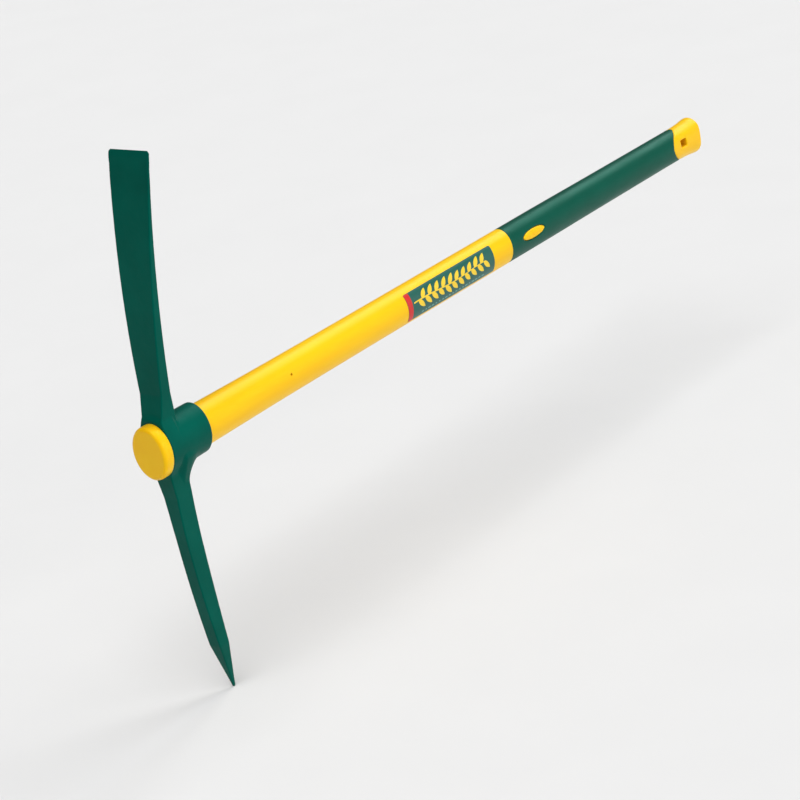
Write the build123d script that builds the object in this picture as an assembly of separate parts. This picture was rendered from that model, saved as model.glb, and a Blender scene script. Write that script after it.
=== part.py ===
from build123d import *
import os

# Pick mattock ("grub hoe") with a forged head on an overmoulded glass-fibre handle.
# Millimetres. The origin is the centre of the flat oval face at the head end of the
# handle. +Y runs along the handle to its tail, +Z runs up the adze blade, and X is
# the width of the blade.

# ---- handle: one oval envelope, round in the (Y, Z) plane and flattened along X ----
handle_length = 888.0        # flat head face to the end of the tail
oval_ratio = 0.80            # width along X / height along Z of every handle section
flare_height = 51.6          # oval head end that stops the handle in the eye
flare_rim_radius = 4.0       # rounded rim of the flat head face
flare_proud = 11.0           # how far the head end stands in front of the eye
shaft_height_eye = 41.8      # shaft just behind the eye
shaft_height_front = 39.0    # where the shaft's first taper ends
shaft_height_grip = 37.8     # where the shaft meets the grip
shaft_front_run = 116.5      # from the eye to the end of the shaft's first taper
shaft_even_run = 130.0       # even stretch in front of the grip
grip_swell_height = 37.9     # palm swell of the grip
grip_swell_run = 58.0        # from the grip's front edge to the swell
grip_height_rear = 36.6      # slimmest part, before the tail flares
grip_taper_run = 230.0       # from the grip's front edge to where it is nearly as slim
tail_height = 40.6           # tail flare that keeps the hand on the grip
tail_flare_run = 38.0        # from the slimmest part to the end of the tail
tail_width = 27.6            # the flare grows in height only, between two flat cheeks
tail_corner_radius = 3.0
tail_dome = 1.8              # how far the end of the tail bulges
taper_ease = 0.1             # how much wider a long taper still is before its last stretch
face_skim = 0.05             # cut off the head end to leave a truly flat face

# ---- glass-fibre core ----
core_diameter = 16.0
core_front_cover = 8.0       # plastic in front of the core
core_in_cap = 14.0           # length of core that the tail cap holds

# ---- elastomer grip ----
grip_and_tail_length = 359.0  # grip's front edge to the end of the tail
grip_thickness = 2.4         # at the top and bottom of the oval
side_line = 2.0              # height of the windows and the hanging hole
window_length = 37.0
window_height = 10.6
window_setback = 38.5        # from the grip's front edge to the middle of the window
tongue_setback = 56.0        # from the end of the tail to the tip of the cap's side tongue
tongue_depth = 48.0          # long half of the oval that the tongue is part of
tongue_half_height = 22.0
tongue_line = 0.8

# ---- tail cap ----
cap_length = 70.0            # with the spigot under the grip
hole_setback = 35.5          # from the end of the tail to the middle of the hanging hole
hanging_hole_length = 11.0   # along the handle
hanging_hole_height = 8.5

# ---- core locating holes left by the mould ----
pin_hole_diameter = 2.6
pin_hole_run = 117.5         # behind the eye
pin_hole_z = 4.2

# ---- label ----
label_gap = 31.5             # between the label and the grip
label_length = 141.0
label_height = 28.0
label_thickness = 0.3

# ---- forged head: eye ----
eye_length = 52.5
eye_wall = 3.8               # at the top and bottom of the oval
eye_taper = 1.1              # how much the tall radius of the bore narrows to the rear
eye_rim_radius = 1.2
eye_flank_z = 12.0           # where both arms have run into the eye's flanks

# ---- forged head: adze blade, above the eye ----
blade_tip_z = 266.0
blade_root_z = 50.0
blade_tip_width = 49.5
blade_root_width = 27.4
blade_corner_chamfer = 2.5
blade_side_bow = 0.7         # how far the sides swell
neck_z = 33.0
neck_width = 26.0            # narrowest place, above the eye
blade_root_y = 18.2          # front of the blade at its root
blade_root_thickness = 12.0
blade_sweep = 38.3           # how far the cutting edge lies behind the root
blade_bow = 4.8              # hollow of the front of the blade
blade_back_bow = 5.2
blade_bevel_length = 6.0
blade_bevel_thickness = 2.2
blade_edge_land = 0.8
brow_drop = 2.0              # from the top of the eye to where the blade's front leaves it
brow_slope = (-0.6, -1)

# ---- forged head: pick, below the eye ----
pick_root_z = -50.0
pick_point_z = -205.0        # where the four-sided point starts
pick_tip_z = -253.0
hip_z = -36.0
hip_width = 18.8             # where the eye's flanks have narrowed to the pick
hip_slope = (-0.1, -1)
pick_width = 14.2
pick_even_z = -80.0          # below this the pick's sides are parallel
pick_root_y = 14.4           # front of the pick at its root
pick_root_thickness = 19.4
pick_point_y = 26.8
pick_point_thickness = 12.5
pick_bow = 2.4
pick_back_bow = 1.2
pick_tip_y = 38.3
pick_tip_land = 2.0
chin_slope = (0.5, -1)       # how the front of the eye turns down to the pick
throat_setback = 17.5        # from the eye's rear to where the throat leaves it
throat_slope = (1, 0.1)
recess_radius = 5.0          # blend between the eye and the back of the blade

# ---- derived ----
eye_front_y = flare_proud
eye_rear_y = eye_front_y + eye_length
grip_front_y = handle_length - grip_and_tail_length
window_y = grip_front_y + window_setback
tongue_centre_y = handle_length - tongue_setback + tongue_depth
cap_front_y = handle_length - cap_length
hanging_hole_y = handle_length - hole_setback
pin_hole_y = eye_rear_y + pin_hole_run
label_rear_y = grip_front_y - label_gap
label_front_y = label_rear_y - label_length
core_rear_y = cap_front_y + core_in_cap
eye_outer_front = shaft_height_eye / 2 + eye_taper + eye_wall
eye_outer_rear = shaft_height_eye / 2 + eye_wall
brow_z = eye_outer_front - brow_drop
flank_rise = (eye_outer_rear**2 - eye_flank_z**2) ** 0.5
flank_x = oval_ratio * flank_rise
flank_slope = oval_ratio * eye_flank_z / flank_rise
reach = 60.0                 # half width of the tools that trim the handle


def flatten(solid):
    """Flatten a round solid along X into the oval of the handle."""
    return scale(solid, by=(oval_ratio, 1, 1))


def wedge_radius(y):
    """Tall radius of the handle's wedge, and of the bore around it, at a place in the eye."""
    return shaft_height_eye / 2 + eye_taper * (eye_rear_y - y) / eye_length


def slab(front_y, rear_y):
    """Everything between two planes across the handle."""
    length = rear_y - front_y
    return Pos(0, front_y + length / 2, 0) * Box(2 * reach, length, 2 * reach)


def rod(radius, front_y, rear_y):
    """Round bar on the handle's axis."""
    length = rear_y - front_y
    return Pos(0, front_y + length / 2, 0) * Rot(90, 0, 0) * Cylinder(radius, length)


def across(sketch, y, z):
    """Push a flat outline, drawn in the (Y, Z) plane, through the whole handle along X."""
    return extrude(Plane.YZ * Pos(y, z) * sketch, reach, both=True)


def revolve_oval(section):
    """Turn a half section of the (Y, Z) plane about the handle's axis and flatten it."""
    return flatten(revolve(section, axis=Axis.Y))


def outer_section(offset=0.0):
    """Half section of the whole handle, moved out by an offset at its top and bottom."""
    flare = flare_height / 2 + offset
    tail = tail_height / 2 + offset
    seam_radius = shaft_height_grip / 2 + offset
    rear_radius = grip_height_rear / 2 + offset
    dome_start_y = handle_length - tail_dome
    with BuildSketch(Plane.YZ) as made:
        with BuildLine():
            face = Line((-face_skim, 0), (-face_skim, flare - flare_rim_radius))
            rim = RadiusArc(face @ 1, (flare_rim_radius - face_skim, flare), flare_rim_radius)
            side = Line(rim @ 1, (eye_front_y, flare))
            shoulder = Line(side @ 1, (eye_front_y, wedge_radius(eye_front_y) + offset))
            wedge = Line(shoulder @ 1, (eye_rear_y, wedge_radius(eye_rear_y) + offset))
            shaft = Spline(
                wedge @ 1,
                (eye_rear_y + shaft_front_run, shaft_height_front / 2 + offset),
                (grip_front_y - shaft_even_run, seam_radius + taper_ease / 2),
                (grip_front_y, seam_radius),
            )
            grip = Spline(
                shaft @ 1,
                (grip_front_y + grip_swell_run, grip_swell_height / 2 + offset),
                (grip_front_y + grip_taper_run, rear_radius + taper_ease),
                (handle_length - tail_flare_run, rear_radius),
            )
            flare_out = Spline(
                grip @ 1,
                (dome_start_y - tail_corner_radius, tail),
                tangents=(grip % 1, (1, 0.02)),
            )
            corner_end = (dome_start_y, tail - tail_corner_radius)
            corner = RadiusArc(flare_out @ 1, corner_end, tail_corner_radius)
            dome = TangentArc((handle_length, 0), corner @ 1, tangent=(0, 1))
            Line(dome @ 0, face @ 0)
        make_face()
    return made.sketch


def band(front_y, rear_y, inner=0.0, outer=reach):
    """Rectangle of the half section between two places and two radii."""
    size = Rectangle(rear_y - front_y, outer - inner)
    return Plane.YZ * Pos((front_y + rear_y) / 2, (inner + outer) / 2) * size


def bar(front_y, rear_y):
    """Solid stretch of the handle's outside."""
    return revolve_oval(outer_section() & band(front_y, rear_y))


def window_tool():
    """Long oval through both sides of the grip."""
    return across(Ellipse(window_length / 2, window_height / 2), window_y, side_line)


def tail_zone():
    """Everything behind the seam of the grip and the tail cap, with its side tongues."""
    tongue = across(Ellipse(tongue_depth, tongue_half_height), tongue_centre_y, tongue_line)
    return tongue + slab(tongue_centre_y, handle_length + reach)


def grip_space():
    """Room that the elastomer fills, round the handle and up to its windows and tongues."""
    ring = band(grip_front_y, handle_length) - outer_section(-grip_thickness)
    return revolve_oval(ring) - tail_zone() - window_tool()


def make_core_rod():
    return rod(core_diameter / 2, core_front_cover, core_rear_y)


def make_handle_body(space):
    core_space = rod(core_diameter / 2, core_front_cover, cap_front_y)
    pin_hole = Pos(0, pin_hole_y, pin_hole_z) * Rot(0, 90, 0) * Cylinder(pin_hole_diameter / 2, reach)
    outside = bar(-face_skim, cap_front_y) & slab(0, cap_front_y)
    return outside - space - core_space - pin_hole


def make_grip(space):
    return bar(grip_front_y, handle_length) & space


def tail_cheeks():
    """What lies outside the two flat cheeks of the tail's flare."""
    start_x = oval_ratio * grip_height_rear / 2
    start_y = handle_length - tail_flare_run
    end_y = handle_length + tail_dome
    outline = Polygon(
        (start_x, start_y),
        (reach, start_y),
        (reach, end_y),
        (tail_width / 2, end_y),
        align=None,
    )
    cheek = extrude(outline, reach, both=True)
    return cheek + mirror(cheek, about=Plane.YZ)


def make_tail_cap(space):
    socket = rod(core_diameter / 2, cap_front_y, core_rear_y)
    hole = across(
        Rectangle(hanging_hole_length, hanging_hole_height), hanging_hole_y, side_line
    )
    return bar(cap_front_y, handle_length) - space - socket - hole - tail_cheeks()


def make_label():
    """Thin patch that follows the side of the shaft."""
    skin = outer_section(label_thickness) - outer_section()
    sleeve = revolve_oval(skin & band(label_front_y, label_rear_y))
    side = Pos(reach / 2, label_rear_y, 0) * Box(reach, 3 * label_length, label_height)
    return sleeve & side


def side_blank():
    """Side view of the two arms and the eye front, pushed through along X."""
    blade_tip_y = blade_root_y + blade_sweep
    bevel_z = blade_tip_z - blade_bevel_length
    bevel_y = blade_tip_y - blade_bevel_thickness
    blade_rear_y = blade_root_y + blade_root_thickness
    pick_rear_y = pick_root_y + pick_root_thickness
    throat_y = eye_rear_y - throat_setback
    with BuildPart() as made:
        with BuildSketch(Plane.YZ):
            with BuildLine():
                edge = Line((blade_tip_y + blade_edge_land, blade_tip_z), (blade_tip_y, blade_tip_z))
                bevel = Line(edge @ 1, (bevel_y, bevel_z))
                front = SagittaArc(bevel @ 1, (blade_root_y, blade_root_z), -blade_bow)
                neck = Spline(
                    front @ 1, (eye_front_y, brow_z), tangents=(front % 1, brow_slope)
                )
                face = Line(neck @ 1, (eye_front_y, -brow_z))
                chin = Spline(
                    face @ 1, (pick_root_y, pick_root_z), tangents=(chin_slope, (0, -1))
                )
                pick = SagittaArc(chin @ 1, (pick_point_y, pick_point_z), -pick_bow)
                point = Line(pick @ 1, (pick_tip_y, pick_tip_z))
                tip = Line(point @ 1, (pick_tip_y + pick_tip_land, pick_tip_z))
                heel = Line(tip @ 1, (pick_point_y + pick_point_thickness, pick_point_z))
                back = SagittaArc(heel @ 1, (pick_rear_y, pick_root_z), pick_back_bow)
                throat = Spline(
                    back @ 1, (throat_y, -eye_outer_rear), tangents=(back % 1, throat_slope)
                )
                inside = Polyline(
                    throat @ 1,
                    (throat_y, -eye_outer_rear / 2),
                    (blade_rear_y + recess_radius, eye_outer_rear / 2),
                    (blade_rear_y + recess_radius, eye_outer_rear),
                )
                recess = RadiusArc(
                    inside @ 1, (blade_rear_y, eye_outer_rear + recess_radius), recess_radius
                )
                root = Line(recess @ 1, (blade_rear_y, blade_root_z))
                SagittaArc(root @ 1, edge @ 0, blade_back_bow)
            make_face()
        extrude(amount=reach, both=True)
    return made.part


def front_blank():
    """Front view of the two arms and the eye, pushed through along Y."""
    chamfer_z = blade_tip_z - blade_corner_chamfer
    with BuildPart() as made:
        with BuildSketch(Plane.XZ):
            with BuildLine():
                edge = Line((0, blade_tip_z), (blade_tip_width / 2 - blade_corner_chamfer, blade_tip_z))
                corner = Line(edge @ 1, (blade_tip_width / 2, chamfer_z))
                blade = SagittaArc(
                    corner @ 1, (blade_root_width / 2, blade_root_z), blade_side_bow
                )
                neck = Line(blade @ 1, (neck_width / 2, neck_z))
                shoulder = Spline(
                    neck @ 1, (flank_x, eye_flank_z), tangents=(neck % 1, (flank_slope, -1))
                )
                flank = Line(shoulder @ 1, (flank_x, -eye_flank_z))
                hip = Spline(
                    flank @ 1, (hip_width / 2, hip_z), tangents=((-flank_slope, -1), hip_slope)
                )
                taper = Line(hip @ 1, (pick_width / 2, pick_even_z))
                pick = Line(taper @ 1, (pick_width / 2, pick_point_z))
                point = Line(pick @ 1, (pick_tip_land / 2, pick_tip_z))
                Line(point @ 1, (0, pick_tip_z))
                Line((0, pick_tip_z), edge @ 0)
            make_face()
            mirror(about=Plane.YZ)
        extrude(amount=2 * reach, both=True)
    return made.part


def eye_collar():
    """Tapered oval barrel of the eye, before it is bored."""
    with BuildPart() as made:
        with BuildSketch(Plane.YZ):
            with BuildLine():
                front = Line((eye_front_y, 0), (eye_front_y, eye_outer_front))
                side = Line(front @ 1, (eye_rear_y - eye_rim_radius, eye_outer_rear))
                rim = RadiusArc(side @ 1, (eye_rear_y, eye_outer_rear - eye_rim_radius), eye_rim_radius)
                rear = Line(rim @ 1, (eye_rear_y, 0))
                Line(rear @ 1, front @ 0)
            make_face()
        revolve(axis=Axis.Y)
    return flatten(made.part)


def eye_bore():
    """Tapered oval bore that the handle's wedge fills."""
    front_y = eye_front_y - eye_wall
    rear_y = eye_rear_y + eye_wall
    with BuildPart() as made:
        with BuildSketch(Plane.YZ):
            with BuildLine():
                Polyline(
                    (front_y, 0),
                    (front_y, wedge_radius(front_y)),
                    (rear_y, wedge_radius(rear_y)),
                    (rear_y, 0),
                    close=True,
                )
            make_face()
        revolve(axis=Axis.Y)
    return flatten(made.part)


def make_pick_head():
    arms = side_blank() & front_blank()
    return arms + eye_collar() - eye_bore()


def main():
    space = grip_space()
    parts = {
        "pick_head": make_pick_head(),
        "core_rod": make_core_rod(),
        "handle_body": make_handle_body(space),
        "grip_sleeve": make_grip(space),
        "tail_cap": make_tail_cap(space),
        "label": make_label(),
    }
    os.makedirs("parts", exist_ok=True)
    for name, part in parts.items():
        part.label = name
        export_step(part, f"parts/{name}.step")


main()
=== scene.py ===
# %% [markdown]
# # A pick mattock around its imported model
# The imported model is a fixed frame: it says where every piece is, in metres, with the
# origin at the flat head end of the handle, +Y along the handle and +Z up the blade.
# This lesson builds the pieces that are seen: a forged head, a moulded handle, a soft
# grip, a tail cap and a printed label. Each one lies exactly where its CAD node lies.

# %% Load the frame
import math
import bmesh
import bpy
import numpy as np
from mathutils import Matrix, Vector


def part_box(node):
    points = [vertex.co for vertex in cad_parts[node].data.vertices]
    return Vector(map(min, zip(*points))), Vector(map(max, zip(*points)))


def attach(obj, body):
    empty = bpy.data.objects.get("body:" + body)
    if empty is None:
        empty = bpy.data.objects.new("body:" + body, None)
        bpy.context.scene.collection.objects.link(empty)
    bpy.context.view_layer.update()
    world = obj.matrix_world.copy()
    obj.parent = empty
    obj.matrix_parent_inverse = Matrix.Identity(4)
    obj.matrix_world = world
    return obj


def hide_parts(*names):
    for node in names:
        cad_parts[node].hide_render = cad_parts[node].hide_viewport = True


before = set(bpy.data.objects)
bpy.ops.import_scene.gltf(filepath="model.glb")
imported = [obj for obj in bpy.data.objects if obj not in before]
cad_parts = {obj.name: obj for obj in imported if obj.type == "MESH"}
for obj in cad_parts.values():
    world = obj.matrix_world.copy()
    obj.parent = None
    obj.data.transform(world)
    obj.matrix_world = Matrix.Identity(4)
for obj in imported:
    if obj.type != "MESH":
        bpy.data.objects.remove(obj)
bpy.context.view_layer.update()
MM = 0.001

# %% [markdown]
# ## Where things are
# A moulded handle and a forged eye share one axis and one oval, so a few places along Y
# describe them all. They come from the boxes of the CAD nodes, which keeps the visible
# pieces in step with the model when a length changes there.

# %% Places along the handle, from the frame
head_low, head_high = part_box("pick_head")
body_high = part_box("handle_body")[1]
grip_low, grip_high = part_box("grip_sleeve")
cap_low, cap_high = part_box("tail_cap")
label_low, label_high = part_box("label")
core_low, core_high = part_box("core_rod")

eye_front = head_low.y
eye_rear = head_high.y
grip_front = grip_low.y
cap_front = cap_low.y
tail_end = cap_high.y
flare_tall = body_high.z
oval = body_high.x / body_high.z
print(f"eye {eye_front:.4f} to {eye_rear:.4f}, grip from {grip_front:.4f}, end {tail_end:.4f}")
print(f"every section is {oval:.2f} as wide as it is tall")

# %% [markdown]
# ## Shapes as distance fields
# A forging has no sharp corners: the dies blend its arms into its eye with round
# fillets. Bevels on a joined mesh break where such fillets meet, so the forged and the
# moulded pieces are described another way, as distance fields. A field is a function
# that gives, for any point, how far it is from the surface: negative inside, positive
# outside. Two fields join with a fillet, or meet with a rounded edge, in one line each.

# %% Ways to combine fields
def join(a, b, radius):
    """Both shapes as one, with a fillet of that radius where they meet."""
    near = np.hypot(np.maximum(radius - a, 0), np.maximum(radius - b, 0))
    return np.maximum(radius, np.minimum(a, b)) - near


def meet(a, b, radius):
    """What both shapes share, with its edges rounded to that radius."""
    far = np.hypot(np.maximum(radius + a, 0), np.maximum(radius + b, 0))
    return np.minimum(-radius, np.maximum(a, b)) + far


def cut(a, b, radius):
    """The first shape without the second."""
    return meet(a, -b, radius)


def slope(edge0, edge1, t):
    """Smooth step from 0 to 1 between two values."""
    s = np.clip((t - edge0) / (edge1 - edge0), 0, 1)
    return s * s * (3 - 2 * s)


def through(t, points):
    """Smooth curve through a few (place, value) points that never swings past them."""
    at, value = (np.array(column, float) for column in zip(*points))
    gap = np.diff(at)
    rise = np.diff(value) / gap
    flat = rise[:-1] * rise[1:] <= 0
    mean = 2 * rise[:-1] * rise[1:] / np.where(flat, 1, rise[:-1] + rise[1:])
    lean = np.concatenate([rise[:1], np.where(flat, 0, mean), rise[-1:]])
    t = np.clip(t, at[0], at[-1])
    i = np.clip(np.searchsorted(at, t, side="right") - 1, 0, len(gap) - 1)
    s = (t - at[i]) / gap[i]
    start = (1 + 2 * s) * (1 - s) ** 2 * value[i] + s * (1 - s) ** 2 * gap[i] * lean[i]
    end = s * s * (3 - 2 * s) * value[i + 1] + s * s * (s - 1) * gap[i] * lean[i + 1]
    return start + end


def oval_distance(x, z, tall):
    """Distance from an oval of half height tall, close to its edge."""
    wide = oval * tall
    ring = np.hypot(x / wide, z / tall) + 1e-9
    steep = np.hypot(x / wide**2, z / tall**2) + 1e-9
    return ring * (ring - 1) / steep


print(f"a fillet of 3 brings a point 1 from two surfaces to {join(1.0, 1.0, 3.0):.2f}")

# %% [markdown]
# ## From a field to a mesh
# A grid of points is laid over the piece. Each grid cell that the surface passes
# through gets one vertex, and each grid edge that it crosses gets one quad round it.
# This is the surface nets method. The vertices then slide along the surface to even
# out the quads, and step down the field's slope until they lie on it exactly.

# %% Points onto the surface
def slope_of(field, p, h):
    """The field's value and its slope at each point."""
    ahead = [field(*(p + h * axis).T) - field(*(p - h * axis).T) for axis in np.eye(3)]
    return field(*p.T), np.stack(ahead, 1) / (2 * h)


def settle(field, p, h, rounds=4):
    """Move points onto the surface of a field."""
    for _ in range(rounds):
        value, lean = slope_of(field, p, h)
        size = np.maximum((lean**2).sum(1), 0.05)
        p = p - (np.clip(value, -h, h) / size)[:, None] * lean
    return p


def ball(x, y, z):
    """A ball of radius 1, to try the tools on."""
    return np.sqrt(x * x + y * y + z * z) - 1


print("a point settled on a ball:", settle(ball, np.array([[0.0, 0.9, 0.5]]), 0.1).round(3))


# %% A net of quads on the surface
def net(field, low, high, step):
    """Vertices and quads of a field's surface in a box."""
    step = np.broadcast_to(step, 3)
    axes = [np.arange(a - 1.5 * s, b + 2.5 * s, s) for a, b, s in zip(low, high, step)]
    value = field(*np.meshgrid(*axes, indexing="ij"))
    shape = np.array(value.shape)
    ids, spots, quads = [], [], []
    for a in range(3):
        b, c = (a + 1) % 3, (a + 2) % 3
        first = np.take(value, range(shape[a] - 1), a)
        second = np.take(value, range(1, shape[a]), a)
        edge = np.argwhere((first < 0) != (second < 0))
        here, there = first[tuple(edge.T)], second[tuple(edge.T)]
        spot = edge.astype(float)
        spot[:, a] += here / (here - there)
        round_edge = []
        for back_b, back_c in ((0, 0), (1, 0), (1, 1), (0, 1)):
            cell = edge.copy()
            cell[:, b] -= back_b
            cell[:, c] -= back_c
            round_edge.append(np.ravel_multi_index(cell.T, shape))
            ids.append(round_edge[-1])
            spots.append(spot)
        quad = np.stack(round_edge, 1)
        quads.append(np.where((here < 0)[:, None], quad, quad[:, ::-1]))
    ids, back = np.unique(np.concatenate(ids), return_inverse=True)
    spots = np.concatenate(spots)
    many = np.bincount(back)
    p = np.stack([np.bincount(back, spots[:, k]) / many for k in range(3)], 1)
    p = np.array([axis[0] for axis in axes]) + p * step
    return p, np.searchsorted(ids, np.concatenate(quads))


print(f"a net on the ball has {len(net(ball, (-1, -1, -1), (1, 1, 1), 0.2)[1])} quads")


# %% The skin of a field
def even_out(p, quads, share=0.5):
    """Move each vertex towards the middle of its neighbours."""
    ends = np.concatenate([quads, np.roll(quads, 1, 1)], 0).ravel()
    others = np.concatenate([np.roll(quads, 1, 1), quads], 0).ravel()
    many = np.bincount(ends, minlength=len(p))[:, None]
    total = np.stack([np.bincount(ends, p[others, k], len(p)) for k in range(3)], 1)
    return p + share * (total / many - p)


def skin(name, field, low, high, step):
    """A smooth mesh object on the surface of a field."""
    p, quads = net(field, low, high, step)
    reach = float(np.min(step)) / 4
    p = settle(field, p, reach)
    for _ in range(3):
        p = settle(field, even_out(p, quads), reach, 2)
    return mesh_object(name, p, quads)


def mesh_object(name, points, faces):
    """A smooth shaded object from points and faces."""
    mesh = bpy.data.meshes.new(name)
    mesh.from_pydata(points.tolist(), [], [tuple(face) for face in faces])
    mesh.validate()
    mesh.shade_smooth()
    made = bpy.data.objects.new(name, mesh)
    bpy.context.scene.collection.objects.link(made)
    print(f"{name}: {len(mesh.vertices)} vertices, {len(mesh.polygons)} faces")
    return made


def finish_piece(piece, slot, material, *nodes):
    """Give a piece its finish and its place on the tool's one body. The slot is not used."""
    piece.data.materials.clear()
    piece.data.materials.append(material)
    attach(piece, "root")
    if nodes:
        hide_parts(*nodes)
    print(f"{piece.name} wears {material.name}")


# %% [markdown]
# ## Finishes
# Nothing on the tool is one flat colour. Each finish below starts from a base colour,
# lets it wander a little over the piece, and breaks up the gloss and the surface at
# the scale of the real process: casting skin under paint, spark-eroded mould texture,
# the fine grain of an elastomer. All patterns read Object coordinates, in metres, so a
# noise scale of 1000 gives grains of about a millimetre.

# %% Node helpers
def new_material(name, colour):
    """A material and its Principled shader."""
    made = bpy.data.materials.new(name)
    made.use_nodes = True
    made.diffuse_color = (*colour, 1)
    shader = made.node_tree.nodes["Principled BSDF"]
    return made, shader


def add(material, kind, inputs=None, **settings):
    """Add one node, set its options, and fill or wire its inputs."""
    tree = material.node_tree
    node = tree.nodes.new(kind)
    for name, value in settings.items():
        setattr(node, name, value)
    for name, value in (inputs or {}).items():
        if isinstance(value, bpy.types.NodeSocket):
            tree.links.new(value, node.inputs[name])
        else:
            node.inputs[name].default_value = value
    return node


def noise(material, scale, detail=3.0, stretch=(1, 1, 1)):
    """Noise on Object coordinates, stretched along an axis if asked."""
    place = add(material, "ShaderNodeTexCoord").outputs["Object"]
    turned = add(material, "ShaderNodeMapping", {"Vector": place, "Scale": stretch})
    inputs = {"Vector": turned.outputs["Vector"], "Scale": scale, "Detail": detail}
    return add(material, "ShaderNodeTexNoise", inputs).outputs["Fac"]


def blend_colours(material, factor, low, high):
    """A colour ramp between two colours, steered by a factor."""
    ramp = add(material, "ShaderNodeValToRGB", {"Fac": factor})
    ramp.color_ramp.elements[0].position = 0.3
    ramp.color_ramp.elements[1].position = 0.7
    ramp.color_ramp.elements[0].color = (*low, 1)
    ramp.color_ramp.elements[1].color = (*high, 1)
    return ramp.outputs["Color"]


def spread(material, factor, low, high):
    """A number between two limits, steered by a factor."""
    inputs = {"Value": factor, "From Min": 0.3, "From Max": 0.7, "To Min": low, "To Max": high}
    return add(material, "ShaderNodeMapRange", inputs).outputs["Result"]


def relief(material, height, depth, below=None):
    """Raise the surface by a height pattern, on top of an earlier relief."""
    inputs = {"Height": height, "Strength": 1.0, "Distance": depth}
    if below is not None:
        inputs["Normal"] = below
    return add(material, "ShaderNodeBump", inputs).outputs["Normal"]


def wire(material, shader, **sockets):
    """Connect outputs to the shader's inputs, by name with underscores for spaces."""
    for name, output in sockets.items():
        material.node_tree.links.new(output, shader.inputs[name.replace("_", " ")])


def gloss(shader, level, tint):
    """Strength and colour of the plain reflection."""
    shader.inputs["Specular IOR Level"].default_value = level
    shader.inputs["Specular Tint"].default_value = (*tint, 1)


def count_nodes(material):
    """Say how many nodes a finish has."""
    print(f"{material.name}: {len(material.node_tree.nodes)} nodes")


print("helpers for finishes: add, noise, blend_colours, spread, relief, wire, gloss")

# %% [markdown]
# ### Paint on the forging
# The head is shot-blasted and dipped or sprayed in dark green. The steel's forging
# skin still shows through the paint as soft dents a few millimetres wide, and the
# paint has its own fine orange peel. Its edges, where Pointiness finds them, are
# painted a lighter green: a painted highlight along the edges.

# %% Forged head paint
def forged_paint():
    made, shader = new_material("forged_green_paint", HEAD_GREEN)
    drift = noise(made, 26, 2)
    dents = noise(made, 160, 4)
    peel = noise(made, 1400, 2)
    colour = blend_colours(made, drift, HEAD_GREEN_DEEP, HEAD_GREEN)
    edge = add(made, "ShaderNodeNewGeometry").outputs["Pointiness"]
    limits = {"From Min": 0.53, "From Max": 0.62, "To Min": 0.0, "To Max": 0.35}
    sharp = add(made, "ShaderNodeMapRange", {"Value": edge, **limits}).outputs["Result"]
    # Lighter green mixed in where Pointiness finds an edge: a painted highlight along the edges.
    edge_highlight = add(made, "ShaderNodeMix", data_type="RGBA")
    made.node_tree.links.new(sharp, edge_highlight.inputs["Factor"])
    made.node_tree.links.new(colour, edge_highlight.inputs["A"])
    edge_highlight.inputs["B"].default_value = (*HEAD_GREEN_EDGE_HIGHLIGHT, 1)
    bumps = relief(made, peel, 0.02 * MM, relief(made, dents, 0.22 * MM))
    wire(made, shader, Base_Color=edge_highlight.outputs["Result"], Normal=bumps)
    wire(made, shader, Roughness=spread(made, dents, 0.34, 0.46))
    gloss(shader, 0.09, (0.1, 1.0, 0.85))
    return made


HEAD_GREEN = (0.0003, 0.089, 0.063)
HEAD_GREEN_DEEP = (0.0002, 0.072, 0.051)
# The lighter green painted on the edges as a highlight.
HEAD_GREEN_EDGE_HIGHLIGHT = (0.002, 0.13, 0.095)
head_paint = forged_paint()
count_nodes(head_paint)

# %% [markdown]
# ### Moulded yellow plastic
# Polypropylene lets light in a little way, which warms its shadows, so the shader gets
# a small amount of subsurface scattering. The mould gives it a fine satin texture, and
# the melt leaves faint streaks along the handle.

# %% Yellow handle plastic
def moulded_yellow():
    made, shader = new_material("moulded_yellow_plastic", YELLOW)
    streaks = noise(made, 60, 3, (1.0, 0.12, 1.0))
    texture = noise(made, 2600, 2)
    bumps = relief(made, texture, 0.012 * MM, relief(made, streaks, 0.05 * MM))
    wire(made, shader, Base_Color=blend_colours(made, streaks, YELLOW_WARM, YELLOW))
    wire(made, shader, Roughness=spread(made, texture, 0.3, 0.4), Normal=bumps)
    gloss(shader, 0.4, (1.0, 0.8, 0.15))
    shader.inputs["Subsurface Weight"].default_value = 0.2
    shader.inputs["Subsurface Radius"].default_value = (1.0, 0.55, 0.12)
    shader.inputs["Subsurface Scale"].default_value = 5 * MM
    return made


YELLOW = (0.90, 0.54, 0.006)
YELLOW_WARM = (0.89, 0.50, 0.005)
yellow_plastic = moulded_yellow()
count_nodes(yellow_plastic)

# %% [markdown]
# ### Soft green grip
# The elastomer is duller than the paint and has a fine, even grain. Sheen gives the
# pale bloom that rubbery skins show towards their outline.

# %% Green elastomer
def soft_green():
    made, shader = new_material("soft_green_elastomer", GRIP_GREEN)
    cloud = noise(made, 35, 3)
    grain = noise(made, 1900, 3)
    rub = noise(made, 90, 3, (1.0, 0.3, 1.0))
    bumps = relief(made, grain, 0.035 * MM, relief(made, cloud, 0.1 * MM))
    wire(made, shader, Base_Color=blend_colours(made, cloud, GRIP_GREEN_DEEP, GRIP_GREEN))
    wire(made, shader, Roughness=spread(made, rub, 0.42, 0.50), Normal=bumps)
    gloss(shader, 0.42, (0.05, 1.0, 0.75))
    shader.inputs["Sheen Weight"].default_value = 0.01
    shader.inputs["Sheen Roughness"].default_value = 0.4
    return made


GRIP_GREEN = (0.0003, 0.058, 0.035)
GRIP_GREEN_DEEP = (0.0002, 0.048, 0.028)
grip_rubber = soft_green()
count_nodes(grip_rubber)

# %% [markdown]
# ### The hidden core
# The glass-fibre rod is never seen on the finished tool, but it is there on the bench.
# Its fibres run along the rod, so the noise is stretched hard along Y.

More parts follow.
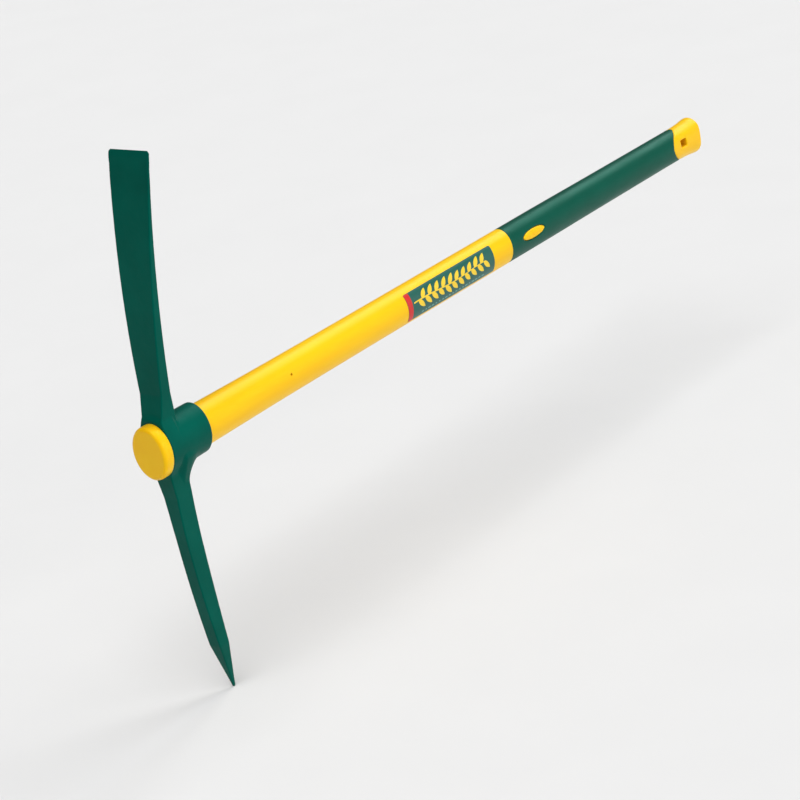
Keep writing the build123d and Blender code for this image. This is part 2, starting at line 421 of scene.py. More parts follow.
# %% Glass-fibre core
def glass_fibre():
    made, shader = new_material("pultruded_glass_fibre", FIBRE_PALE)
    fibres = noise(made, 900, 4, (1.0, 0.01, 1.0))
    wire(made, shader, Base_Color=blend_colours(made, fibres, FIBRE_RESIN, FIBRE_PALE))
    wire(made, shader, Roughness=spread(made, fibres, 0.35, 0.6))
    wire(made, shader, Normal=relief(made, fibres, 0.04 * MM))
    return made


FIBRE_PALE = (0.72, 0.70, 0.58)
FIBRE_RESIN = (0.5, 0.46, 0.32)
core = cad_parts["core_rod"]
core.data.materials.clear()
core.data.materials.append(glass_fibre())
for face in core.data.polygons:
    face.material_index = 0
count_nodes(core.data.materials[0])

# %% [markdown]
# ## The forged head
# The smith's dies shape one bar into a blade above the eye and a pick below it. Seen
# from the side each arm sweeps back a little; seen from the front the blade widens to
# its cutting edge and the pick stays narrow to a four-sided point. So both arms are
# one field: at each height it has a half width, a front and a back.

# %% Outlines of the two arms
def bowed(t, t0, t1, start, end, bow):
    """Straight run from start to end with a bow in the middle."""
    s = np.clip((t - t0) / (t1 - t0), 0, 1)
    return start + (end - start) * s + 4 * bow * s * (1 - s)


BLADE_TIP = head_high.z
BLADE_ROOT = 50 * MM
BLADE_BEVEL = 6 * MM
BLADE_ROOT_HALF = 13.7 * MM
BLADE_TIP_HALF = 24.75 * MM
BLADE_CHAMFER = 2.5 * MM
BEVEL_Y = 54.3 * MM
BEVEL_SLOPE = 0.36
PICK_ROOT = -50 * MM
PICK_POINT = -205 * MM
PICK_TIP = head_low.z
PICK_HALF = 7.1 * MM
POINT_FRONT_Y = 26.8 * MM
POINT_BACK_Y = 39.3 * MM
POINT_FRONT_SLOPE = 0.24
POINT_BACK_SLOPE = 0.021
POINT_SIDE_SLOPE = 0.125


def arm_front(z):
    """Y of the front of the arms at each height."""
    blade = bowed(z, BLADE_ROOT, BLADE_TIP - BLADE_BEVEL, 18.2 * MM, BEVEL_Y, -4.8 * MM)
    bevel = BEVEL_Y + (z - BLADE_TIP + BLADE_BEVEL) * BEVEL_SLOPE
    blade = np.where(z > BLADE_TIP - BLADE_BEVEL, bevel, blade)
    pick = bowed(z, PICK_ROOT, PICK_POINT, 14.4 * MM, POINT_FRONT_Y, -2.4 * MM)
    point = POINT_FRONT_Y + (PICK_POINT - z) * POINT_FRONT_SLOPE
    pick = np.where(z < PICK_POINT, point, pick)
    neck = through(z, [(-0.05, 0.0144), (-0.036, 0.0126), (-0.024, 0.0108), (-0.01, 0.010),
                       (0.01, 0.010), (0.022, 0.0108), (0.031, 0.0135), (0.05, 0.0182)])
    return np.where(z > BLADE_ROOT, blade, np.where(z < PICK_ROOT, pick, neck))


def arm_back(z):
    """Y of the back of the arms at each height."""
    blade = bowed(z, BLADE_ROOT, BLADE_TIP, 30.2 * MM, 57.3 * MM, -5.2 * MM)
    pick = bowed(z, PICK_ROOT, PICK_POINT, 33.8 * MM, POINT_BACK_Y, -0.9 * MM)
    point = POINT_BACK_Y + (PICK_POINT - z) * POINT_BACK_SLOPE
    pick = np.where(z < PICK_POINT, point, pick)
    waist = through(z, [(-0.05, 0.0338), (0.05, 0.0302)])
    return np.where(z > BLADE_ROOT, blade, np.where(z < PICK_ROOT, pick, waist))


def arm_half_width(z):
    """Half the width of the arms at each height."""
    blade = bowed(z, BLADE_ROOT, BLADE_TIP, BLADE_ROOT_HALF, BLADE_TIP_HALF, 0.7 * MM)
    flanks = through(z, [(-0.205, 0.0071), (-0.10, 0.0072), (-0.065, 0.0081), (-0.045, 0.0091),
                         (-0.02, 0.0104), (0.0, 0.0114), (0.02, 0.0124), (0.033, 0.0129),
                         (0.05, 0.0137)])
    point = PICK_HALF - (PICK_POINT - z) * POINT_SIDE_SLOPE
    return np.where(z > BLADE_ROOT, blade, np.where(z < PICK_POINT, point, flanks))


for height in (0.26, 0.15, 0.06, -0.06, -0.15, -0.24):
    thick, wide = arm_back(height) - arm_front(height), 2 * arm_half_width(height)
    print(f"z {height:.2f}: {thick * 1000:.1f} mm thick, {wide * 1000:.1f} mm wide")

# %% [markdown]
# ## The eye
# The eye is a tapered oval barrel. It joins the blade's back with a tight corner and
# the pick's back with a wide throat, which is where a pick would otherwise break. The
# fillet's radius therefore changes from place to place, and the fields allow that.

# %% The head's field
EYE_WALL = 3.8 * MM
WEDGE_FRONT = 22.0 * MM
WEDGE_REAR = 20.9 * MM
SHOULDER_RADIUS = 8 * MM
HIP_RADIUS = 4 * MM
THROAT_RADIUS = 17 * MM
RECESS_RADIUS = 2.5 * MM
ARM_EDGE = 0.9 * MM
HEAD_STEP = np.array([0.95, 0.62, 0.95]) * MM


def wedge_tall(y):
    """Half height of the handle's wedge and of the bore around it."""
    return np.interp(y, [eye_front, eye_rear], [WEDGE_FRONT, WEDGE_REAR])


def arms(x, y, z):
    """The blade and the pick, running through the place of the eye."""
    front, back, half = arm_front(z), arm_back(z), arm_half_width(z)
    thick = (back - front) / 2
    edge = np.minimum(ARM_EDGE, 0.42 * np.minimum(thick, half))
    bar = meet(np.abs(x) - half, np.abs(y - (front + back) / 2) - thick, edge)
    corner = (np.abs(x) + z - BLADE_TIP - BLADE_TIP_HALF + BLADE_CHAMFER) * math.sqrt(0.5)
    bar = meet(bar, z - BLADE_TIP, 0.4 * MM)
    bar = meet(bar, corner, 0.6 * MM)
    return meet(bar, PICK_TIP - z, 0.5 * MM)


def head_field(x, y, z):
    """The whole forging."""
    barrel = oval_distance(x, z, wedge_tall(y) + EYE_WALL)
    barrel = meet(barrel, y - eye_rear, 1.3 * MM)
    above = slope(-6 * MM, 6 * MM, z)
    flank = HIP_RADIUS + (SHOULDER_RADIUS - HIP_RADIUS) * above
    throat = slope(20 * MM, 28 * MM, y) * slope(-2 * MM, -14 * MM, z)
    recess = slope(25 * MM, 30 * MM, y) * slope(4 * MM, 14 * MM, z)
    radius = flank * (1 - throat - recess) + THROAT_RADIUS * throat + RECESS_RADIUS * recess
    whole = join(arms(x, y, z), barrel, radius)
    whole = meet(whole, eye_front - y, 1.8 * MM)
    return cut(whole, oval_distance(x, z, wedge_tall(y)), 0.7 * MM)


pick_head = skin("forged_head", head_field, head_low, head_high, HEAD_STEP)
finish_piece(pick_head, "head_paint", head_paint, "pick_head")

# %% [markdown]
# ## The handle's oval
# Every section of the handle is the same oval, only its size changes: wide at the head
# end, which stops the head from flying off, a wedge in the eye, a shaft that thins
# towards the grip, a slight swell for the palm, and a flare at the tail.

# %% Half height along the handle
FLARE_RIM = 4.0 * MM
GRIP_WALL = 2.4 * MM
TAIL_TALL = cap_high.z


def handle_tall(y):
    """Half height of the handle's outside behind the eye."""
    return through(y, [
        (eye_front, WEDGE_FRONT),
        (eye_rear, WEDGE_REAR),
        (0.110, 0.0202),
        (0.180, 0.0195),
        (0.300, 0.0191),
        (grip_front - 0.130, 0.01895),
        (grip_front, 0.0189),
        (grip_front + 0.058, 0.01895),
        (grip_front + 0.140, 0.01865),
        (grip_front + 0.230, 0.0184),
        (tail_end - 0.038, 0.0183),
        (tail_end - 0.020, 0.0189),
        (tail_end - 0.005, TAIL_TALL),
        (tail_end + 0.010, TAIL_TALL + 0.0005),
    ])


for place in (eye_rear, 0.2, 0.35, grip_front, 0.6, 0.75, 0.85):
    print(f"y {place:.3f}: half height {float(handle_tall(place)) * 1000:.2f} mm")

# %% [markdown]
# ## The yellow moulding
# The handle is turned here like a lathe would, ring by ring, because its section never
# changes shape. The disc at the head end has a generous round rim; behind it the wedge
# fills the eye. Under the grip the moulding steps down to leave room for the elastomer.
# The turning then goes back up the middle, which leaves the bore that the core fills.
# Two small holes remain where the mould's pins held the core rod in the middle.

# %% Lathe with the oval section
def lathe(rings, sides):
    """Points and faces of a closed turning through (y, half height, half width) rings."""
    turn = np.linspace(0, 2 * math.pi, sides, endpoint=False)
    y, tall, wide = np.array(rings).T
    x = np.outer(wide, np.cos(turn))
    z = np.outer(tall, np.sin(turn))
    points = np.stack([x, np.broadcast_to(y[:, None], x.shape), z], 2).reshape(-1, 3)
    faces = []
    for ring in range(len(y) - 1):
        for side in range(sides):
            a = ring * sides + side
            b = ring * sides + (side + 1) % sides
            faces.append((a, b, b + sides, a + sides))
    ends = np.array([(0, y[0], 0), (0, y[-1], 0)])
    first = len(points)
    last = first - sides
    for side in range(sides):
        after = (side + 1) % sides
        faces.append((after, side, first))
        faces.append((last + side, last + after, first + 1))
    return np.vstack([points, ends]), faces


def body_rings():
    """Rings of the yellow moulding: out over the oval to the grip, then back up the bore."""
    rings = [(0.0, tall) for tall in np.linspace(0.004, flare_tall - FLARE_RIM, 6)]
    for angle in np.radians(np.linspace(6, 90, 12)):
        out = flare_tall - FLARE_RIM * (1 - math.sin(angle))
        rings.append((FLARE_RIM * (1 - math.cos(angle)), out))
    rings += [(0.0070, flare_tall), (eye_front - 0.6 * MM, flare_tall)]
    rings += [(eye_front - 0.15 * MM, flare_tall - 0.15 * MM), (eye_front, flare_tall - 0.6 * MM)]
    rings += [(eye_front, WEDGE_FRONT + 0.2 * MM), (eye_front + 0.3 * MM, WEDGE_FRONT - FIT)]
    rings += [(y, wedge_tall(y) - FIT) for y in np.linspace(eye_front + 4 * MM, eye_rear, 12)]
    rings += [(y, handle_tall(y)) for y in np.arange(eye_rear + 2 * MM, grip_front, 2 * MM)]
    rings += [(grip_front + 0.3 * MM, handle_tall(grip_front) - 0.1 * MM)]
    rings += [(grip_front + 0.8 * MM, handle_tall(grip_front) - GRIP_WALL - FIT)]
    for y in np.linspace(grip_front + 4 * MM, body_high.y, 60):
        rings.append((y, handle_tall(y) - GRIP_WALL - FIT))
    outside = [(y, tall, tall * oval) for y, tall in rings]
    bore_at = np.linspace(body_high.y, core_low.y, 28)
    return outside + [(y, CORE_RADIUS, CORE_RADIUS) for y in bore_at]


FIT = 0.06 * MM
CORE_RADIUS = core_high.x
SIDES = 112
moulding = mesh_object("handle_moulding", *lathe(body_rings(), SIDES))

# %% [markdown]
# ## Windows in the grip
# On each side an oval of the yellow moulding stands up through the grip. It keys the
# soft skin to the handle. A narrow gap lies round it, and its own edge is rounded, so
# it catches a line of light.

# %% The window's outline and its boss
SIDE_LINE = 2.0 * MM
WINDOW_MIDDLE = grip_front + 38.5 * MM
WINDOW_LONG = 18.5 * MM
WINDOW_TALL = 5.3 * MM
WINDOW_GAP = 0.45 * MM


def flat_oval(y, z, middle, line, long, tall):
    """Distance from an oval drawn in the side view."""
    a, b = y - middle, z - line
    ring = np.hypot(a / long, b / tall) + 1e-9
    steep = np.hypot(a / long**2, b / tall**2) + 1e-9
    return ring * (ring - 1) / steep


def window(y, z):
    """The opening that the grip has on both sides."""
    return flat_oval(y, z, WINDOW_MIDDLE, SIDE_LINE, WINDOW_LONG, WINDOW_TALL)


def boss_field(x, y, z):
    """Oval boss through the window, slightly crowned."""
    crown = 0.15 * MM + 0.25 * MM * np.clip(-window(y, z) / WINDOW_TALL, 0, 1)
    outside = oval_distance(x, z, handle_tall(y)) - crown
    boss = meet(window(y, z) + WINDOW_GAP, outside, 1.1 * MM)
    return meet(boss, 11 * MM - np.abs(x), 0.3 * MM)


print(f"window middle at y {WINDOW_MIDDLE:.4f}, {2 * WINDOW_LONG * 1000:.0f} mm long")


# %% Merging and drilling
def add_mesh(target, extra):
    """Move one object's mesh into another and drop the emptied object."""
    both = bmesh.new()
    both.from_mesh(target.data)
    both.from_mesh(extra.data)
    both.to_mesh(target.data)
    both.free()
    bpy.data.objects.remove(extra)


def bore(target, radius, start, end):
    """Cut a round hole between two points with a Boolean modifier, then keep the result."""
    start, end = Vector(start), Vector(end)
    made = bmesh.new()
    bmesh.ops.create_cone(made, cap_ends=True, segments=40, radius1=radius, radius2=radius,
                          depth=(end - start).length)
    turn = (end - start).to_track_quat("Z", "Y").to_matrix().to_4x4()
    made.transform(Matrix.Translation((start + end) / 2) @ turn)
    mesh = bpy.data.meshes.new("drill")
    made.to_mesh(mesh)
    made.free()
    drill = bpy.data.objects.new("drill", mesh)
    bpy.context.scene.collection.objects.link(drill)
    step = target.modifiers.new("bore", "BOOLEAN")
    step.operation = "DIFFERENCE"
    step.solver = "EXACT"
    step.object = drill
    ready = target.evaluated_get(bpy.context.evaluated_depsgraph_get())
    cut_mesh = bpy.data.meshes.new_from_object(ready)
    target.modifiers.clear()
    target.data = cut_mesh
    bpy.data.objects.remove(drill)
    print(f"bored {target.name}: {len(cut_mesh.vertices)} vertices")


# %% Pin holes and bosses of the moulding
PIN_RADIUS = 1.3 * MM
PIN_Y = eye_rear + 117.5 * MM
PIN_Z = 4.2 * MM
BOSS_STEP = 0.5 * MM
for side in (1, -1):
    bore(moulding, PIN_RADIUS, (side * 6 * MM, PIN_Y, PIN_Z), (side * 24 * MM, PIN_Y, PIN_Z))
moulding.data.set_sharp_from_angle(angle=math.radians(50))
for side in (1, -1):
    inner, outer = sorted((side * 10.5 * MM, side * 17 * MM))
    low = (inner, WINDOW_MIDDLE - 20 * MM, -5 * MM)
    high = (outer, WINDOW_MIDDLE + 20 * MM, 9 * MM)
    add_mesh(moulding, skin("window_boss", boss_field, low, high, BOSS_STEP))
moulding.data.name = "handle_moulding"
finish_piece(moulding, "handle_plastic", yellow_plastic, "handle_body")

# %% [markdown]
# ## The soft grip and the tail cap
# The grip is moulded over the handle in a second shot. Its rear edge is a long tongue
# shape where the yellow cap shows through on both sides. The cap has a squared hole
# for a hook, with a rounded edge that keeps a cord from fraying, and its end flares to
# keep the hand from sliding off.

# %% Seam, grip and cap fields
TONGUE_LONG = 48 * MM
TONGUE_TALL = 22 * MM
TONGUE_LINE = 0.8 * MM
TONGUE_MIDDLE = tail_end - 56 * MM + TONGUE_LONG
HOLE_MIDDLE = tail_end - 35.5 * MM
HOLE_HALF = (5.5 * MM, 4.25 * MM)
SEAM_GAP = 0.05 * MM
CHEEK_RUN = (tail_end - 0.038, tail_end)
CHEEK_HALF = (0.01464, 0.0138)
TAIL_ROUND = 3.0 * MM
TAIL_DOME = 1.8 * MM
SOCKET_DEEP = 14 * MM
GRIP_STEP = np.array([0.85, 1.4, 0.85]) * MM
CAP_STEP = 0.75 * MM


def tail_zone(y, z):
    """Everything behind the seam."""
    ahead = np.minimum(y, TONGUE_MIDDLE)
    return flat_oval(ahead, z, TONGUE_MIDDLE, TONGUE_LINE, TONGUE_LONG, TONGUE_TALL)


def grip_field(x, y, z):
    """Elastomer skin round the handle."""
    outside = oval_distance(x, z, handle_tall(y))
    inside = oval_distance(x, z, handle_tall(y) - GRIP_WALL)
    shell = meet(outside, grip_front - y, 0.7 * MM)
    shell = meet(shell, SEAM_GAP - tail_zone(y, z), 0.6 * MM)
    shell = cut(shell, window(y, z), 0.8 * MM)
    return np.maximum(shell, -inside)


def hook_hole(y, z):
    """Squared opening through the cap."""
    a = np.abs(y - HOLE_MIDDLE) - HOLE_HALF[0]
    b = np.abs(z - SIDE_LINE) - HOLE_HALF[1]
    return meet(a, b, 1.0 * MM)


def cap_field(x, y, z):
    """Tail cap with the spigot that runs under the grip."""
    tall = handle_tall(y)
    outside = oval_distance(x, z, tall)
    spigot = oval_distance(x, z, tall - GRIP_WALL - FIT)
    shown = meet(outside, SEAM_GAP + tail_zone(y, z), 0.6 * MM)
    body = np.minimum(shown, spigot)
    cheek = np.interp(y, CHEEK_RUN, CHEEK_HALF)
    body = meet(body, np.abs(x) - cheek, TAIL_ROUND)
    dome = y - tail_end + TAIL_DOME * ((x / oval) ** 2 + z**2) / TAIL_TALL**2
    body = meet(body, dome, TAIL_ROUND)
    body = np.maximum(body, cap_front - y)
    socket = np.maximum(np.hypot(x, z) - CORE_RADIUS, y - cap_front - SOCKET_DEEP)
    body = np.maximum(body, -socket)
    return cut(body, hook_hole(y, z), 1.3 * MM)


# %% Skins of the grip and the cap
grip = skin("grip_skin", grip_field, grip_low, grip_high, GRIP_STEP)
finish_piece(grip, "grip_elastomer", grip_rubber, "grip_sleeve")
cap = skin("tail_moulding", cap_field, cap_low, cap_high, CAP_STEP)
finish_piece(cap, "handle_plastic", yellow_plastic, "tail_cap")

# %% [markdown]
# ## The printed label
# A thin film is wrapped on the side of the shaft. Its print is a plain motif: a red
# band, a sprig of yellow leaves and a row of small dashes. Ink has a thickness, so
# each colour is a very thin sheet above the film. The sheets are drawn flat in the
# side view first, then every point is lifted onto the oval of the shaft.

# %% Film and ink finishes
def ink(name, light, dark, roughness):
    """Printed colour with a faint mottle from the printing plate."""
    made, shader = new_material(name, light)
    mottle = noise(made, 700, 4)
    scuff = noise(made, 120, 5, (1.0, 0.25, 1.0))
    wire(made, shader, Base_Color=blend_colours(made, mottle, dark, light))
    wire(made, shader, Roughness=spread(made, scuff, roughness - 0.05, roughness + 0.07))
    wire(made, shader, Normal=relief(made, scuff, 0.01 * MM))
    return made


film_green = ink("label_film_green", (0.002, 0.10, 0.075), (0.001, 0.088, 0.066), 0.34)
ink_red = ink("label_ink_red", (0.60, 0.012, 0.008), (0.54, 0.009, 0.006), 0.36)
ink_yellow = ink("label_ink_yellow", (0.86, 0.60, 0.02), (0.82, 0.55, 0.016), 0.36)
ink_teal = ink("label_ink_teal", (0.16, 0.42, 0.38), (0.13, 0.37, 0.33), 0.36)
for colour in (film_green, ink_red, ink_yellow, ink_teal):
    count_nodes(colour)

# %% Lift flat work onto the shaft
LABEL_SKIN = 0.20 * MM
LABEL_FRONT = label_low.y
LABEL_REAR = label_high.y
LABEL_LONG = 141 * MM
LABEL_HALF = 14.0 * MM
INK = 0.04 * MM


def side_of_shaft(y, z, above):
    """X of the shaft's side at a place, plus a thickness above it."""
    tall = handle_tall(y) + above
    return oval * np.sqrt(np.maximum(tall**2 - z**2, 0))


def lift(piece, above):
    """Move flat work at x = 0 onto the side of the shaft."""
    for point in piece.data.vertices:
        x, y, z = point.co
        point.co.x = float(side_of_shaft(np.float64(y), np.float64(z), above)) + x
    piece.data.update()


def sheet(name, along, half, columns, rows, thick, corner=0.0):
    """Flat closed sheet in the side view, with its four corners drawn in."""
    (y0, y1), (z0, z1) = along, (-half, half)
    made = bmesh.new()
    bmesh.ops.create_grid(made, x_segments=columns, y_segments=rows, size=0.5)
    for point in made.verts:
        u, v = point.co.x + 0.5, point.co.y + 0.5
        inset = corner * max(0.0, 1 - min(u, 1 - u) * (y1 - y0) / corner) ** 2 if corner else 0
        point.co = (0, y0 + (y1 - y0) * u, z0 + inset + (z1 - z0 - 2 * inset) * v)
    bmesh.ops.recalc_face_normals(made, faces=made.faces)
    skin_faces = list(made.faces)
    raised = bmesh.ops.extrude_face_region(made, geom=skin_faces)["geom"]
    for item in raised:
        if isinstance(item, bmesh.types.BMVert):
            item.co.x += thick
    bmesh.ops.recalc_face_normals(made, faces=made.faces)
    mesh = bpy.data.meshes.new(name)
    made.to_mesh(mesh)
    made.free()
    piece = bpy.data.objects.new(name, mesh)
    bpy.context.scene.collection.objects.link(piece)
    print(f"{name}: {len(mesh.vertices)} vertices, {len(mesh.polygons)} faces")
    return piece


# %% Film and red band
LABEL_TOP = LABEL_SKIN / oval
BAND_ALONG = (LABEL_FRONT + 0.2 * MM, LABEL_FRONT + 7.2 * MM)
film = sheet("label_film", (LABEL_FRONT, LABEL_REAR), LABEL_HALF, 70, 28, LABEL_SKIN, 0.5 * MM)
lift(film, 0.0)
finish_piece(film, "label_film", film_green, "label")
band = sheet("label_band", BAND_ALONG, 13.8 * MM, 6, 28, INK)
lift(band, LABEL_TOP)
finish_piece(band, "label_film", ink_red)

# %% [markdown]
# ### A sprig from Geometry Nodes
# One leaf is drawn once and repeated along a stem. The node group takes the stem as a
# curve, spaces points evenly on it, and turns every other leaf to the other side. A
# seed varies the leaf sizes a little, as a drawn motif would. Dashes are made the same
# way on a straight line, with long and short ones mixed by the seed.

# %% Node group that repeats a motif along a curve
def node_group(name, inputs):
    """An empty geometry node group with named inputs."""
    group = bpy.data.node_groups.new(name, "GeometryNodeTree")
    group.interface.new_socket("Geometry", in_out="INPUT", socket_type="NodeSocketGeometry")
    for label, kind in inputs:
        group.interface.new_socket(label, in_out="INPUT", socket_type=kind)
    group.interface.new_socket("Geometry", in_out="OUTPUT", socket_type="NodeSocketGeometry")
    return group


def put(group, kind, inputs=None, **settings):
    """Add a node to a group, set its options and fill or wire its inputs."""
    node = group.nodes.new(kind)
    for name, value in settings.items():
        setattr(node, name, value)
    for name, value in (inputs or {}).items():
        socket = node.inputs[name]
        if isinstance(value, bpy.types.NodeSocket):
            group.links.new(value, socket)
        else:
            socket.default_value = value
    return node


# %% The group itself
def repeat_group():
    """Motif repeated along a curve, leaning left and right in turn."""
    group = node_group("repeat_along_curve", [
        ("Motif", "NodeSocketObject"),
        ("Count", "NodeSocketInt"),
        ("Lean", "NodeSocketFloat"),
        ("Size spread", "NodeSocketFloat"),
        ("Seed", "NodeSocketInt"),
        ("Material", "NodeSocketMaterial"),
    ])
    given = put(group, "NodeGroupInput").outputs

    def sum_of(operation, *values):
        """Output of one Math node."""
        inputs = dict(enumerate(values))
        return put(group, "ShaderNodeMath", inputs, operation=operation).outputs[0]

    points = put(group, "GeometryNodeCurveToPoints", {
        "Curve": given["Geometry"], "Count": given["Count"],
    })
    odd = sum_of("MODULO", put(group, "GeometryNodeInputIndex").outputs[0], 2.0)
    sign = sum_of("MULTIPLY_ADD", odd, 2.0, -1.0)
    lean = sum_of("MULTIPLY", sign, given["Lean"])
    turn = put(group, "ShaderNodeCombineXYZ", {"X": lean}).outputs[0]
    small = sum_of("SUBTRACT", 1.0, given["Size spread"])
    size = put(group, "FunctionNodeRandomValue", {
        2: small, 3: 1.0, "Seed": given["Seed"],
    }, data_type="FLOAT").outputs[1]
    stretch = put(group, "ShaderNodeCombineXYZ", {"X": 1.0, "Y": size, "Z": 1.0}).outputs[0]
    motif = put(group, "GeometryNodeObjectInfo", {"Object": given["Motif"]}).outputs["Geometry"]
    laid = put(group, "GeometryNodeInstanceOnPoints", {
        "Points": points.outputs["Points"], "Instance": motif, "Rotation": turn, "Scale": stretch,
    })
    real = put(group, "GeometryNodeRealizeInstances", {"Geometry": laid.outputs["Instances"]})
    dressed = put(group, "GeometryNodeSetMaterial", {
        "Geometry": real.outputs["Geometry"], "Material": given["Material"],
    })
    out = put(group, "NodeGroupOutput")
    group.links.new(dressed.outputs["Geometry"], out.inputs["Geometry"])
    return group


repeat = repeat_group()
print(f"{repeat.name}: {len(repeat.nodes)} nodes")


# %% Motifs and paths
def motif_mesh(name, outline, thick):
    """Flat closed motif in the side view from rows of (along, half width)."""
    rows = len(outline)
    points, faces = [], []
    for x in (0.0, thick):
        for along, half in outline:
            points += [(x, along, half * side) for side in (-1, -0.5, 0, 0.5, 1)]
    top = rows * 5
    for row in range(rows - 1):
        for k in range(4):
            a = row * 5 + k
            faces.append((a, a + 1, a + 6, a + 5))
            faces.append((top + a, top + a + 5, top + a + 6, top + a + 1))
        for k in (0, 4):
            a = row * 5 + k
            wall = (a, a + 5, top + a + 5, top + a)
            faces.append(wall if k == 0 else wall[::-1])
    for row in (0, rows - 1):
        for k in range(4):
            a = row * 5 + k
            wall = (a, a + 1, top + a + 1, top + a)
            faces.append(wall if row else wall[::-1])
    mesh = bpy.data.meshes.new(name)
    mesh.from_pydata(points, [], faces)
    made = bpy.data.objects.new(name, mesh)
    bpy.context.scene.collection.objects.link(made)
    return made


def curve_object(name, points):
    """Smooth open curve through points."""
    data = bpy.data.curves.new(name, "CURVE")
    data.dimensions = "3D"
    line = data.splines.new("BEZIER")
    line.bezier_points.add(len(points) - 1)
    for knot, place in zip(line.bezier_points, points):
        knot.co = place
        knot.handle_left_type = knot.handle_right_type = "AUTO"
    made = bpy.data.objects.new(name, data)
    bpy.context.scene.collection.objects.link(made)
    print(f"{name}: path of {len(points)} points")
    return made


# %% Run the group
def printed(name, path, motif, count, lean, size_spread, seed, material, above):
    """Run the node group on a curve and keep the result as a plain lifted mesh."""
    step = path.modifiers.new("repeat", "NODES")
    step.node_group = repeat
    values = {"Motif": motif, "Count": count, "Lean": lean, "Size spread": size_spread,
              "Seed": seed, "Material": material}
    for item in repeat.interface.items_tree:
        if item.in_out == "INPUT" and item.name in values:
            step[item.identifier] = values[item.name]
    path.update_tag()
    bpy.context.view_layer.update()
    ready = path.evaluated_get(bpy.context.evaluated_depsgraph_get())
    mesh = bpy.data.meshes.new_from_object(ready)
    path.modifiers.clear()
    bpy.data.objects.remove(path)
    bpy.data.objects.remove(motif)
    mesh.name = name
    made = bpy.data.objects.new(name, mesh)
    bpy.context.scene.collection.objects.link(made)
    lift(made, above)
    print(f"{name}: {len(mesh.vertices)} vertices from {count} repeats")
    return made


# %% Stem
LEAF_LONG = 13.5 * MM
LEAF_HALF = 2.7 * MM
LEAVES = 21
DASH_LONG = 4.2 * MM
DASH_HALF = 0.55 * MM
DASH_LINE = -10.4 * MM
DASHES = 19


def on_label(t):
    """Y at a share of the label's length."""
    return LABEL_FRONT + t * LABEL_LONG


def wave(y):
    """Height of the stem's gentle wave."""
    return (2.2 + 1.0 * np.sin(9 * (y - LABEL_FRONT) / LABEL_LONG)) * MM


stem_rows = [(on_label(t), (0.75 - 0.45 * t) * MM) for t in np.linspace(0.07, 0.90, 60)]
stem = motif_mesh("label_stem", stem_rows, 0.8 * INK)
for point in stem.data.vertices:
    point.co.z += float(wave(point.co.y))
lift(stem, LABEL_TOP)
finish_piece(stem, "label_film", ink_yellow)

# %% Leaves
leaf_rows = [(t * LEAF_LONG, LEAF_HALF * math.sin(math.pi * t**0.8) ** 0.8 + 0.02 * MM)
             for t in np.linspace(0, 1, 15)]
leaf = motif_mesh("leaf", leaf_rows, INK)
stem_points = [(0, on_label(t), wave(on_label(t))) for t in np.linspace(0.12, 0.88, 9)]
leaves = printed("label_leaves", curve_object("stem", stem_points), leaf, LEAVES, 0.80, 0.20, 4,
                 ink_yellow, LABEL_TOP)
finish_piece(leaves, "label_film", ink_yellow)

# %% Dashes
dash_rows = [(t * DASH_LONG, DASH_HALF) for t in np.linspace(-0.5, 0.5, 5)]
dash = motif_mesh("dash", dash_rows, INK)
line_points = [(0, on_label(t), DASH_LINE) for t in (0.16, 0.5, 0.86)]
dashes = printed("label_dashes", curve_object("line", line_points), dash, DASHES, 0.0, 0.55, 9,
                 ink_teal, LABEL_TOP)
finish_piece(dashes, "label_film", ink_teal)

# %% [markdown]
# ## The studio
# A tool for a catalogue is lit so that its form reads without hard shadows: a very
# large soft light above, one from the rear that draws a long highlight on the handle, a
# weaker one from the side, a pale floor that throws light back from below, and a pale
# surround.

# %% Floor
FLOOR_PALE = (0.73, 0.73, 0.73)
FLOOR_DEEP = (0.72, 0.72, 0.72)


def matt_floor():
    made, shader = new_material("studio_floor", FLOOR_PALE)
    cloud = noise(made, 8, 3)
    wire(made, shader, Base_Color=blend_colours(made, cloud, FLOOR_DEEP, FLOOR_PALE))
    shader.inputs["Roughness"].default_value = 0.9
    return made


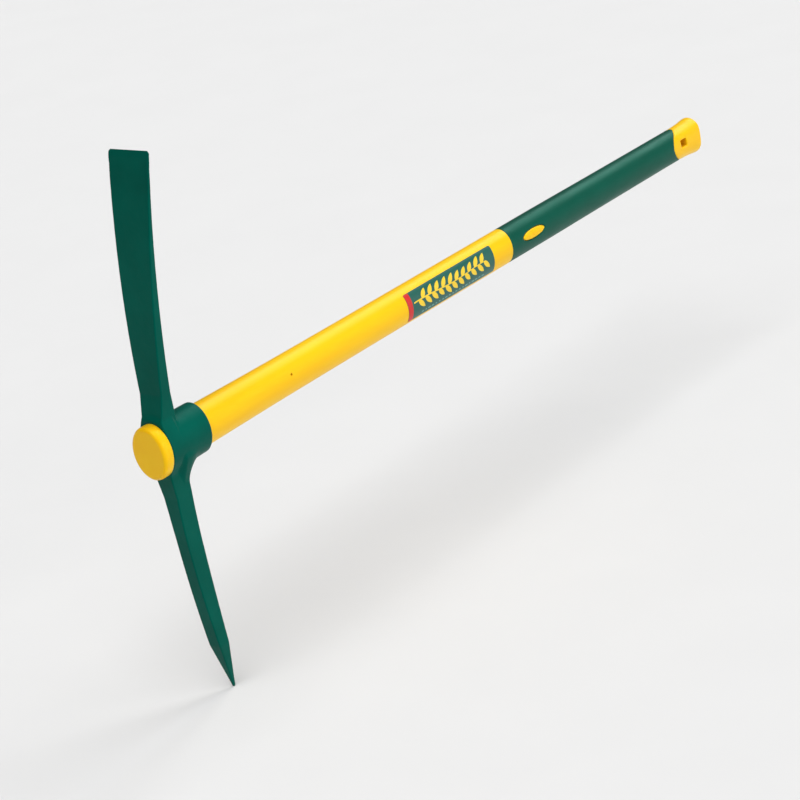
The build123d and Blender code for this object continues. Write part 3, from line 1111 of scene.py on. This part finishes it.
made = bmesh.new()
bmesh.ops.create_grid(made, x_segments=8, y_segments=8, size=12)
floor_mesh = bpy.data.meshes.new("studio_floor")
made.to_mesh(floor_mesh)
made.free()
floor = bpy.data.objects.new("studio_floor", floor_mesh)
bpy.context.scene.collection.objects.link(floor)
floor.location = (0, 0.4, PICK_TIP)
floor.data.materials.append(matt_floor())
print(f"floor at z {floor.location.z:.3f}, under the point of the pick")

# %% Surround and lights
world = bpy.data.worlds.new("studio")
bpy.context.scene.world = world
world.use_nodes = True
world.node_tree.nodes["Background"].inputs["Color"].default_value = (1, 1, 1, 1)
world.node_tree.nodes["Background"].inputs["Strength"].default_value = 0.14


def soft_sun(name, towards, angle, strength):
    """Distant light as wide as a softbox, so it is even over the floor and soft edged."""
    data = bpy.data.lights.new(name, "SUN")
    data.angle = math.radians(angle)
    data.energy = strength
    made = bpy.data.objects.new(name, data)
    bpy.context.scene.collection.objects.link(made)
    made.rotation_euler = Vector(towards).to_track_quat("Z", "Y").to_euler()
    print(f"light {name}: strength {strength}, {angle} degrees wide")


soft_sun("overhead", (0.26, -0.40, 1.0), 45, 2.1)
soft_sun("rear", (0.10, 0.70, 0.72), 40, 1.5)
soft_sun("side", (1.0, 0.28, 0.20), 45, 1.7)

# %% [markdown]
# ## The camera
# The tool is seen from the head end, about 43 degrees round from its axis and 21
# degrees from above, with a long lens. The camera leans a little to its left, which
# lays the handle up towards the right of the picture.

# %% Camera
ROUND = math.radians(42.673)
ABOVE = math.radians(21.103)
LEAN = math.radians(-10.891)
CAMERA_PLACE = Vector((1.67579, -1.48137, 0.86508))
LENS = 121.377
back = Vector((math.sin(ROUND), -math.cos(ROUND), 0)) * math.cos(ABOVE)
back.z = math.sin(ABOVE)
level = Vector((0, 0, 1)).cross(back).normalized()
rise = back.cross(level)
right = level * math.cos(LEAN) + rise * math.sin(LEAN)
up = rise * math.cos(LEAN) - level * math.sin(LEAN)
camera_data = bpy.data.cameras.new("camera")
camera_data.sensor_width = 36
camera_data.lens = LENS
camera = bpy.data.objects.new("camera", camera_data)
bpy.context.scene.collection.objects.link(camera)
facing = Matrix((right, up, back)).transposed().to_4x4()
camera.matrix_world = Matrix.Translation(CAMERA_PLACE) @ facing
bpy.context.scene.camera = camera
bpy.context.scene.view_settings.view_transform = "Standard"
print(f"camera {CAMERA_PLACE.length:.2f} m from the head, lens {LENS:.0f} mm")
